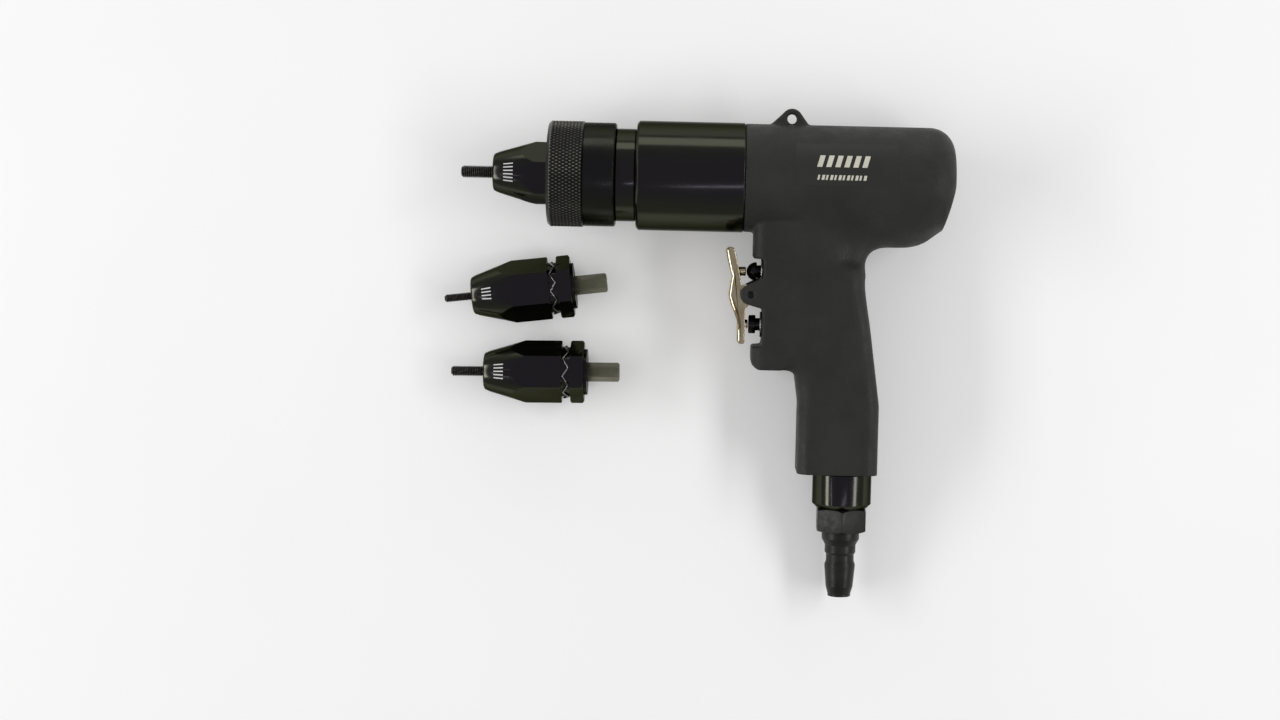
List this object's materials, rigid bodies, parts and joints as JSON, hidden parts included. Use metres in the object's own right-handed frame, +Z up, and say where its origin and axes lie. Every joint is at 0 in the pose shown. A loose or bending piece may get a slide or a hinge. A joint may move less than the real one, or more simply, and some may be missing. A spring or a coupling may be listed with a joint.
{
  "type": "pneumatic rivet nut gun",
  "caption": "Pistol-grip pneumatic rivet nut gun with a quick change nose, lying on its side beside two spare noses; the mandrel spins a rivet nut on and pulls it tight.",
  "frame": {"origin": "middle of the whole layout's footprint, on the bench surface", "axes": "+X along the barrel from the nose to the rear, +Y from the grip's foot towards the hanging lug along the bench, +Z up from the bench; the gun lies on its side, tipped until barrel and grip both touch the bench"},
  "size_m": [0.2424, 0.2328, 0.052],
  "materials": {
    "textured_black": "matte fine wrinkle coat on cast aluminium",
    "gloss_black": "gloss black anodised",
    "black_oxide": "black oxide, turned, semi gloss",
    "phosphate_black": "matte dark phosphate",
    "chrome": "bright nickel plate, warm",
    "olive_steel": "hardened steel, satin, olive grey",
    "bright_steel": "ground steel",
    "spring_steel": "drawn spring wire",
    "grey_iron": "ground grey iron",
    "black_rubber": "matte nitrile",
    "sintered_bronze": "porous sintered",
    "vane_composite": "phenolic cloth composite"
  },
  "bodies": {
    "gun": {"housing": "textured_black", "gear_case": "gloss_black", "case_seal": "black_rubber", "front_barrel": "black_oxide", "snap_ring": "spring_steel", "lock_balls": "bright_steel", "ring_gear": "grey_iron", "stator": "grey_iron", "front_end_plate": "grey_iron", "rear_end_plate": "grey_iron", "rotor_bearings": "bright_steel", "spindle_bearings": "bright_steel", "trigger_pin": "phosphate_black", "valve_bushes": "chrome", "exhaust_sleeve": "gloss_black", "muffler": "sintered_bronze", "hex_adapter": "phosphate_black", "air_plug": "phosphate_black", "nose_m6": "black_oxide", "nose_bush_m6": "black_oxide", "thrust_bearing_m6": "bright_steel", "nose_clip_m6": "spring_steel", "collar_spring": "spring_steel", "forward_spring": "spring_steel", "reverse_spring": "spring_steel"},
    "collar": {"collar": "black_oxide"},
    "rotor": {"rotor": "bright_steel", "rotor_vanes": "vane_composite"},
    "first_carrier": {"first_carrier": "bright_steel"},
    "output": {"output_spindle": "bright_steel", "mandrel_m6": "olive_steel"},
    "trigger": {"trigger": "chrome"},
    "forward_valve": {"forward_valve": "phosphate_black", "forward_seals": "black_rubber"},
    "reverse_valve": {"reverse_valve": "phosphate_black", "reverse_seals": "black_rubber"},
    "second_nose": {"nose_m5": "black_oxide", "nose_bush_m5": "black_oxide", "thrust_bearing_m5": "bright_steel", "nose_clip_m5": "spring_steel"},
    "second_mandrel": {"mandrel_m5": "olive_steel"},
    "third_nose": {"nose_m4": "black_oxide", "nose_bush_m4": "black_oxide", "thrust_bearing_m4": "bright_steel", "nose_clip_m4": "spring_steel"},
    "third_mandrel": {"mandrel_m4": "olive_steel"},
    "first_planet_a": {"first_planet_a": "bright_steel"},
    "first_planet_b": {"first_planet_b": "bright_steel"},
    "first_planet_c": {"first_planet_c": "bright_steel"},
    "second_planet_a": {"second_planet_a": "bright_steel"},
    "second_planet_b": {"second_planet_b": "bright_steel"},
    "second_planet_c": {"second_planet_c": "bright_steel"}
  },
  "joints": [
    {"name": "rotor_spin", "type": "hinge", "parent": "gun", "child": "rotor", "pos_m": [0.06194, 0.08301, 0.026], "axis": [1, 0, 0], "continuous": true},
    {"name": "first_carrier_spin", "type": "hinge", "parent": "gun", "child": "first_carrier", "pos_m": [0.01394, 0.08301, 0.026], "axis": [1, 0, 0], "continuous": true},
    {"name": "output_spin", "type": "hinge", "parent": "gun", "child": "output", "pos_m": [-0.01806, 0.08301, 0.026], "axis": [1, 0, 0], "continuous": true},
    {"name": "first_planet_a_spin", "type": "hinge", "parent": "first_carrier", "child": "first_planet_a", "pos_m": [0.02494, 0.09378, 0.0267], "axis": [1, 0, 0], "continuous": true},
    {"name": "first_planet_b_spin", "type": "hinge", "parent": "first_carrier", "child": "first_planet_b", "pos_m": [0.02494, 0.07701, 0.03498], "axis": [1, 0, 0], "continuous": true},
    {"name": "first_planet_c_spin", "type": "hinge", "parent": "first_carrier", "child": "first_planet_c", "pos_m": [0.02494, 0.07822, 0.01632], "axis": [1, 0, 0], "continuous": true},
    {"name": "second_planet_a_spin", "type": "hinge", "parent": "output", "child": "second_planet_a", "pos_m": [0.00894, 0.09378, 0.0267], "axis": [1, 0, 0], "continuous": true},
    {"name": "second_planet_b_spin", "type": "hinge", "parent": "output", "child": "second_planet_b", "pos_m": [0.00894, 0.07701, 0.03498], "axis": [1, 0, 0], "continuous": true},
    {"name": "second_planet_c_spin", "type": "hinge", "parent": "output", "child": "second_planet_c", "pos_m": [0.00894, 0.07822, 0.01632], "axis": [1, 0, 0], "continuous": true},
    {"name": "collar_slide", "type": "slide", "parent": "gun", "child": "collar", "axis": [1, 0, 0], "range_m": [0, 0.008], "stiffness_N_per_m": 1500, "springref_m": -0.008, "deforming": ["collar_spring"]},
    {"name": "trigger_rock", "type": "hinge", "parent": "gun", "child": "trigger", "pos_m": [0.02584, 0.02802, 0.02243], "axis": [0, -0.0647, 0.9979], "range_deg": [-6, 6], "stiffness_Nm_per_rad": 1.4},
    {"name": "forward_valve_slide", "type": "slide", "parent": "gun", "child": "forward_valve", "axis": [1, 0, 0], "range_m": [-0.0012, 0.0012], "deforming": ["forward_spring"]},
    {"name": "reverse_valve_slide", "type": "slide", "parent": "gun", "child": "reverse_valve", "axis": [1, 0, 0], "range_m": [-0.0016, 0.0016], "deforming": ["reverse_spring"]},
    {"name": "second_nose_lift", "type": "slide", "parent": "gun", "child": "second_nose", "axis": [0, 0, 1], "range_m": [0, 0.05]},
    {"name": "second_mandrel_spin", "type": "hinge", "parent": "second_nose", "child": "second_mandrel", "pos_m": [-0.07126, -0.01147, 0.013], "axis": [0.9999, 0.014, 0], "continuous": true},
    {"name": "third_nose_lift", "type": "slide", "parent": "gun", "child": "third_nose", "axis": [0, 0, 1], "range_m": [0, 0.05]},
    {"name": "third_mandrel_spin", "type": "hinge", "parent": "third_nose", "child": "third_mandrel", "pos_m": [-0.07798, 0.02786, 0.013], "axis": [0.9925, 0.1219, 0], "continuous": true}
  ],
  "couplings": [
    {"joint": "first_carrier_spin", "follows": "rotor_spin", "ratio": 0.22222},
    {"joint": "output_spin", "follows": "rotor_spin", "ratio": 0.049383},
    {"joint": "first_planet_a_spin", "follows": "rotor_spin", "ratio": -0.62222},
    {"joint": "first_planet_b_spin", "follows": "rotor_spin", "ratio": -0.62222},
    {"joint": "first_planet_c_spin", "follows": "rotor_spin", "ratio": -0.62222},
    {"joint": "second_planet_a_spin", "follows": "rotor_spin", "ratio": -0.13827},
    {"joint": "second_planet_b_spin", "follows": "rotor_spin", "ratio": -0.13827},
    {"joint": "second_planet_c_spin", "follows": "rotor_spin", "ratio": -0.13827},
    {"joint": "forward_valve_slide", "follows": "trigger_rock", "m_per_rad": -0.0107},
    {"joint": "reverse_valve_slide", "follows": "trigger_rock", "m_per_rad": 0.0145}
  ]
}
